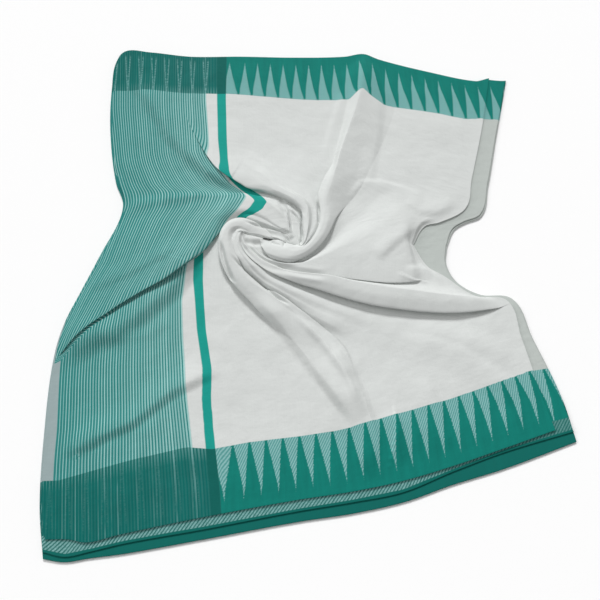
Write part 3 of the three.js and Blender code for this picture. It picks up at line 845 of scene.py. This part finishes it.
def woven_colour(net, u, v, threads, lower):
    """Colour of the cloth at u along its length and v across it, in metres."""
    streaks = net.drawn_noise(u, v, STREAK_CELLS, detail=3.0)
    ragged = net.drawn_noise(u, v, RAGGED_CELLS, detail=1.0)
    patches = net.noise(net.vector(u, v), PATCH_CELLS, detail=3.0)
    grain = net.noise(net.vector(u, v), GRAIN_CELLS, detail=2.0)

    # Distance from the nearer selvedge.
    from_edge = net.math("MINIMUM", v, net.less(WIDTH, v))
    in_border = net.before(from_edge, BORDER, soft=0.0012)
    in_pallu = net.before(u, BAR_TO, soft=0.001)

    # Temple spires: broad at the selvedge, thin at the body, with stepped and ragged sides.
    cell = net.math("FRACT", net.ratio(net.less(u, SPIRE_START), SPIRE_PITCH))
    off_centre = net.times(net.math("ABSOLUTE", net.less(cell, 0.5)), 2.0)
    off_centre = net.plus(off_centre, net.times(net.less(ragged, 0.5), SPIRE_RAGGED))
    stair = net.ratio(net.math("FLOOR", net.times(from_edge, STAIRS)), STAIRS * BORDER)
    rise = net.ratio(net.less(stair, SPIRE_TIP), 1 - SPIRE_TIP, clamp=True)
    half = net.less(SPIRE_FOOT, net.times(net.math("POWER", rise, SPIRE_BEND), SPIRE_TAPER))
    outside = net.step(off_centre, half, soft=0.07)
    outside = net.times(outside, net.step(stair, SPIRE_TIP, soft=0.02))
    slant = net.less(net.times(u, HATCH_ALONG), net.times(from_edge, HATCH_ACROSS))
    hatch = net.step(net.math("PINGPONG", slant, 0.5), at=0.24, soft=0.3)
    hatch = net.line(net.less(grain, 0.5), 1.2, hatch, clamp=True)
    triangle = net.blend(hatch, SPIRE_DARK, SPIRE_GREY)
    plain_border = net.blend(net.times(streaks, 0.9), BORDER_GREEN, BORDER_DEEP)
    border = net.blend(outside, plain_border, triangle)

    # Fine stripes: teal ones rule near the hem and light ones near the body.
    hem_to_body = net.ratio(net.less(u, STRIPES_FROM), STRIPES_TO - STRIPES_FROM, clamp=True)
    counted = net.ratio(net.less(u, STRIPES_FROM), STRIPE_PITCH)
    chance = net.chance(net.math("FLOOR", counted))
    dark_share = net.less(DARK_SHARE, net.times(hem_to_body, DARK_FALL))
    light = net.step(net.math("FRACT", counted), dark_share, soft=0.2)
    strength = net.line(chance, slope=0.35, start=0.65)
    stripes = net.blend(net.times(light, strength), STRIPE_TEAL, STRIPE_LIGHT)
    past_margin = net.step(u, STRIPES_FROM, soft=0.002)
    zone = net.times(past_margin, net.before(u, STRIPES_TO, soft=0.002))
    bar = net.times(net.step(u, BAR_FROM, soft=0.0016), net.before(u, BAR_TO, soft=0.0016))
    # Next to the hem the margin is grey, painted shade, and white further in.
    margin = net.blend(net.step(u, STRIPES_FROM + 0.01, soft=0.004), MARGIN_PAINTED_SHADE, WHITE)
    pallu = net.blend(zone, margin, stripes)

    # In the pallu's borders a few of the light stripes stay bright, most in the low one.
    in_top = net.step(v, 0.5 * WIDTH, soft=0.01)
    bright = net.times(net.math("POWER", chance, 3.0), net.step(streaks, at=0.5, soft=0.25))
    bright = net.times(bright, net.line(in_top, slope=-1.0, start=2.0))
    inner = net.step(from_edge, 0.9 * BORDER, 0.2 * BORDER)
    faint = net.line(bright, 0.3, net.line(inner, slope=0.3, start=0.05))
    pallu_border = net.blend(streaks, PALLU_BORDER, PALLU_DEEP)
    pallu_border = net.blend(net.times(light, faint), pallu_border, SPIRE_GREY)
    # Of the spires only a thin ragged outline shows there.
    rim = net.math("ABSOLUTE", net.line(half, -0.35, off_centre))
    rim = net.before(rim, at=0.09, soft=0.12)
    rim = net.times(rim, net.step(from_edge, SPIRE_TIP * BORDER, soft=0.01))
    rim = net.times(rim, net.line(in_top, slope=0.85, start=0.15))
    rim = net.times(rim, net.line(net.step(ragged, at=0.5, soft=0.1), slope=0.4, start=0.15))
    pallu_border = net.blend(rim, pallu_border, SPIRE_GREY)

    # The lower layers take the darker white, which is painted shade.
    body = net.blend(in_border, LOWER_PAINTED_SHADE_WHITE if lower else WHITE, border)
    striped = net.blend(in_border, pallu, pallu_border)
    striped = net.blend(bar, striped, net.blend(in_border, BAR_TEAL, BAR_DEEP))
    colour = net.blend(in_pallu, body, striped)
    if lower:
        # Next to the selvedge of the lower layers: a green edge, then a band of slanted ticks.
        ticks = net.math("FRACT", net.ratio(net.less(u, v), TICK_PITCH))
        ticks = net.step(ticks, at=0.42, soft=0.25)
        ticks = net.times(ticks, net.line(net.step(grain, at=0.5, soft=0.3), slope=0.45, start=0.4))
        fuzz = net.times(net.step(streaks, at=0.5, soft=0.4), 0.2)
        ticks = net.plus(ticks, fuzz, clamp=True)
        faded = net.step(u, BAND_FADE_AT, soft=0.2)
        ticks = net.times(ticks, net.line(faded, slope=-0.5, start=1.0))
        band = net.blend(ticks, LOWER_GREEN, SPIRE_GREY)
        green = net.blend(streaks, LOWER_GREEN, BORDER_DEEP)
        banded = net.blend(net.step(v, BAND_FROM, soft=0.0008), green, band)
        colour = net.blend(net.step(v, BAND_TO, soft=0.001), banded, colour)

    tone = net.plus(net.times(threads, DYE_THREADS), net.times(patches, DYE_PATCHES))
    dyed = net.node("VectorMath", [(0, colour)])
    dyed.operation = "SCALE"
    net.put(dyed.inputs["Scale"], net.plus(tone, DYE))
    return dyed.outputs[0]


def cloth_material(slot):
    """The woven cloth: its colours from the cloth map, its weave and soft crumple as bump."""
    roughness, sheen = (0.85, 0.02) if "border" in slot else (0.9, 0.04)
    material = bpy.data.materials.new(slot.replace("_", " "))
    material.use_nodes = True
    tree = material.node_tree
    tree.nodes.clear()
    net = Net(tree)
    place = net.node("UVMap")
    place.uv_map = "cloth"
    u, v = net.node("SeparateXYZ", [(0, place.outputs[0])]).outputs[:2]

    # Thick and thin threads, both ways of the cloth.
    warp = net.drawn_noise(u, v, THREAD_CELLS, detail=2.0)
    weft = net.drawn_noise(u, v, THREAD_CELLS[::-1], detail=2.0)
    threads = net.plus(warp, weft)
    turns = 2 * math.pi / THREAD_PITCH
    weave_u, weave_v = (net.math("SINE", net.times(way, turns)) for way in (u, v))
    relief = net.plus(net.times(threads, 0.35), net.times(net.times(weave_u, weave_v), 0.12))
    crumple = net.noise(net.vector(u, v), CRUMPLE_CELLS, detail=4.0, rough=0.5)
    soft = net.bump(crumple, strength=0.35, distance=0.004)
    weave = net.bump(relief, strength=0.3, distance=0.0005)
    net.put(weave.inputs["Normal"], soft.outputs[0])
    inputs = [
        ("Base Color", woven_colour(net, u, v, threads, slot == "lower_cotton")),
        ("Roughness", roughness),
        ("Sheen Weight", sheen),
        ("Sheen Roughness", 0.5),
        ("Specular IOR Level", 0.12),
        ("Normal", weave.outputs[0]),
    ]
    shader = net.node("BsdfPrincipled", inputs)
    net.node("OutputMaterial", [("Surface", shader.outputs[0])])
    return material


# The top sheet, with its slit closed and its edge turned under. Added rows keep the cloth map of
# the row that they start from.
top = with_slit(with_hem(creased))
ADDED_ROWS = ((0, 0), (2, len(HEM)))
top_uv = np.stack([np.pad(way, ADDED_ROWS, mode="edge") for way in (cloth_u, cloth_v)], -1)
top_uv = top_uv.reshape(-1, 2)
top_normals = grid_normals(top).reshape(-1, 3)
top_points = top.reshape(-1, 3)
top_quads = grid_quads(RAYS, top.shape[1])
quad_u, quad_v = (top_uv[top_quads, k].mean(1) for k in (0, 1))
is_pallu = quad_u < BAR_TO
is_high = quad_v > WIDTH - BORDER
is_low = quad_v < BORDER

STRETCHES = [
    ("body_field", "body_cotton", ~is_pallu & ~is_high & ~is_low),
    ("pallu_field", "pallu_cotton", is_pallu & ~is_high & ~is_low),
    ("body_border_top", "border_cotton", ~is_pallu & is_high),
    ("body_border_bottom", "border_cotton", ~is_pallu & is_low),
    ("pallu_border_top", "pallu_border_cotton", is_pallu & is_high),
    ("pallu_border_bottom", "pallu_border_cotton", is_pallu & is_low),
]
# lower_cotton is the lower layers' copy of the cloth, with its white darkened as painted shade.
SLOTS = ("body_cotton", "pallu_cotton", "border_cotton", "pallu_border_cotton", "lower_cotton")
materials = {slot: cloth_material(slot) for slot in SLOTS}


def declare(piece, node):
    """Attach the piece to the frame's root and hide the part of the model that it replaces."""
    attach(piece, "root")
    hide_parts(node)


for name, slot_name, chosen in STRETCHES:
    quads = top_quads[chosen]
    material = materials[slot_name]
    piece = add_piece(f"saree_{name}", top_points, top_normals, quads, top_uv, material)
    declare(piece, name)

# The layers below. Insets past the first of these, in mm, follow the rays of the sheet, and at the
# second one the ring lies on the sheet's own ring at DEEP_LEVEL.
WIDE_INSET = 3.0
DEEP_INSET = 60.0
DEEP_LEVEL = 4.5

# Ring numbers at which the second layer follows the top sheet, and the gap, in mm.
SECOND_LEVELS = (4.15, 4.4, 4.55, 4.7, 4.82, 4.92)
SECOND_GAP = 2.4
# It then droops from one ring to another: layer whose edge they follow, inset and height.
DROOP_FROM = (0, 4.0, 7.9)
DROOP_TO = (1, 2.2, 6.0)
DROOP_ROWS = 9
DROOP_POWER = 3
# Rings along a lower layer's rounded edge and its turned part: inset and height, in mm.
SECOND_EDGE = [
    (0.9, 5.95), (0.25, 5.7), (0, 5.4), (0.3, 5.1), (1.6, 4.95), (6, 4.9),
    (1.8, 4.8), (0.9, 4.7), (0.5, 4.4), (0.9, 4.1), (2.4, 3.95), (8, 3.9),
]
THIRD_EDGE = [
    (DEEP_INSET, 3.6), (30, 3.6), (12, 3.6), (4, 3.6), (1.6, 3.5), (0.5, 3.3), (0, 2.9),
    (0.3, 2.5), (1.8, 2.3), (0.8, 2.1), (0.4, 1.8), (0.8, 1.5), (2, 1.35), (0.9, 1.2),
    (0.5, 0.8), (0.8, 0.35), (2.4, 0),
]
# Ring numbers of the flat underside, and how far its last ring closes.
FLOOR_LEVELS = (4.85, 4.5, 4.0, 3.3, 2.6, 1.8, 1.0, FIRST_LEVEL)
FLOOR_CLOSED = 0.995
# At the top a lower layer's length starts this far past the plain margin's start, in metres.
PAST_MARGIN = 0.012
# The lowest edge shows plain green, this far across from its selvedge.
LOWEST_EDGE = 0.06
LOWEST_GREEN = 0.8 * BAND_FROM
SELVEDGE_GAP = 0.0005


def row_at(level):
    return int(np.argmin(np.abs(levels - level)))


def ring(layer, inset, height):
    """Points along the edge of a layer, moved in towards the middle of the sheet, at a height."""
    edge = edge_points(edge_places, layer)
    if inset > WIDE_INSET:
        share = inset / DEEP_INSET
        row = grid[:, row_at(mix(EDGE_LEVEL, DEEP_LEVEL, share)), :2]
        points = row + (edge - grid[:, -1, :2]) * (1 - share)
    else:
        tangent = unit(around(edge))
        points = edge + np.stack([tangent[:, 1], -tangent[:, 0]], -1) * inset
    return np.column_stack([points, np.full(RAYS, height)])


def under_top(level):
    """The ring of the second layer below the top sheet at that ring number."""
    return creased[:, row_at(level)] - (0, 0, SECOND_GAP)


def on_floor(level):
    row = grid[:, row_at(level)].copy()
    row[:, 2] = 0.0
    return row


def droop(share):
    start, finish = ring(*DROOP_FROM), ring(*DROOP_TO)
    places = mix(start[:, :2], finish[:, :2], share)
    return np.column_stack([places, mix(finish[:, 2], start[:, 2], (1 - share) ** DROOP_POWER)])


def layer_uv(points, layer):
    """Cloth map of a lower layer: its own selvedges, and a length that runs from its own hem."""
    shift = slice(2 * layer, 2 * layer + 2)
    outline = [tuple(np.add(row[:2], row[shift])) for row in EDGE]
    u = length_on_floor(points)
    v = across_cloth(points, outline)
    u = np.where(v > 0.5 * WIDTH, np.maximum(u, STRIPES_FROM + PAST_MARGIN), u)
    if layer == 2:
        v = np.where(v < LOWEST_EDGE, np.minimum(v, LOWEST_GREEN), v)
    return np.stack([u, np.clip(v, SELVEDGE_GAP, WIDTH - SELVEDGE_GAP)], -1).reshape(-1, 2)


def ring_piece(name, layer, rings):
    """A lower layer from its rings, from under the top sheet outward and on below."""
    grid_points = np.stack(rings, 1)
    normals = grid_normals(grid_points).reshape(-1, 3)
    points = grid_points.reshape(-1, 3)
    quads = grid_quads(RAYS, len(rings))
    uv = layer_uv(grid_points, layer)
    piece = add_piece(name, points, normals, quads, uv, materials["lower_cotton"])
    declare(piece, "under_layers")


# The second layer droops from under the top sheet to its rounded edge, which is folded back below.
second_rings = [under_top(level) for level in SECOND_LEVELS]
second_rings += [droop(share) for share in np.linspace(0, 1, DROOP_ROWS)]
second_rings += [ring(1, *place) for place in SECOND_EDGE]
ring_piece("second_layer", 1, second_rings)

lower_rings = [ring(2, *place) for place in THIRD_EDGE]
lower_rings += [on_floor(level) for level in FLOOR_LEVELS]
lower_rings.append(mix(lower_rings[-1], lower_rings[-1].mean(0), FLOOR_CLOSED))
ring_piece("lower_layers", 2, lower_rings)

# Floor, light and camera.
FLOOR_HALF = 4.0
FLOOR_WHITE = (0.975, 0.975, 0.975, 1)
WORLD_WHITE = (1.0, 1.0, 1.0, 1)
WORLD_STRENGTH = 0.32
SENSOR_WIDTH = 36

floor_mesh = bpy.data.meshes.new("floor")
floor_corners = [(-1, -1), (1, -1), (1, 1), (-1, 1)]
floor_corners = [(x * FLOOR_HALF, y * FLOOR_HALF, 0) for x, y in floor_corners]
floor_mesh.from_pydata(floor_corners, [], [(0, 1, 2, 3)])
floor = add_object("floor", floor_mesh)
floor_material = bpy.data.materials.new("floor")
floor_material.use_nodes = True
floor_shader = floor_material.node_tree.nodes["Principled BSDF"]
floor_shader.inputs["Base Color"].default_value = FLOOR_WHITE
floor_shader.inputs["Roughness"].default_value = 0.9
floor_mesh.materials.append(floor_material)


def add_sun(name, place, strength, spread):
    """Light from far away in the direction of place, with soft shadows. spread is in degrees."""
    light = bpy.data.lights.new(name, "SUN")
    light.energy = strength
    light.angle = math.radians(spread)
    lamp = add_object(name, light)
    lamp.location = place
    lamp.rotation_euler = mathutils.Vector(place).to_track_quat("Z", "Y").to_euler()


add_sun("key", (-0.2, 2.3, 1.8), strength=2.4, spread=15)
add_sun("side", (-2.2, 0.6, 1.6), strength=0.8, spread=30)
add_sun("fill", (0.8, -1.2, 2.6), strength=0.25, spread=40)

world = bpy.data.worlds.new("studio")
world.use_nodes = True
background = world.node_tree.nodes["Background"]
background.inputs["Color"].default_value = WORLD_WHITE
background.inputs["Strength"].default_value = WORLD_STRENGTH
bpy.context.scene.world = world
bpy.context.scene.view_settings.view_transform = "Standard"

camera_data = bpy.data.cameras.new("camera")
camera_data.sensor_width = SENSOR_WIDTH
camera_data.lens = SENSOR_WIDTH * PHOTO_FOCAL / PHOTO_SIZE
camera = add_object("camera", camera_data)
camera.location = to_object(CAMERA_AT)
camera.rotation_euler = (math.radians(90 - CAMERA_PITCH), 0, 0)
bpy.context.scene.camera = camera
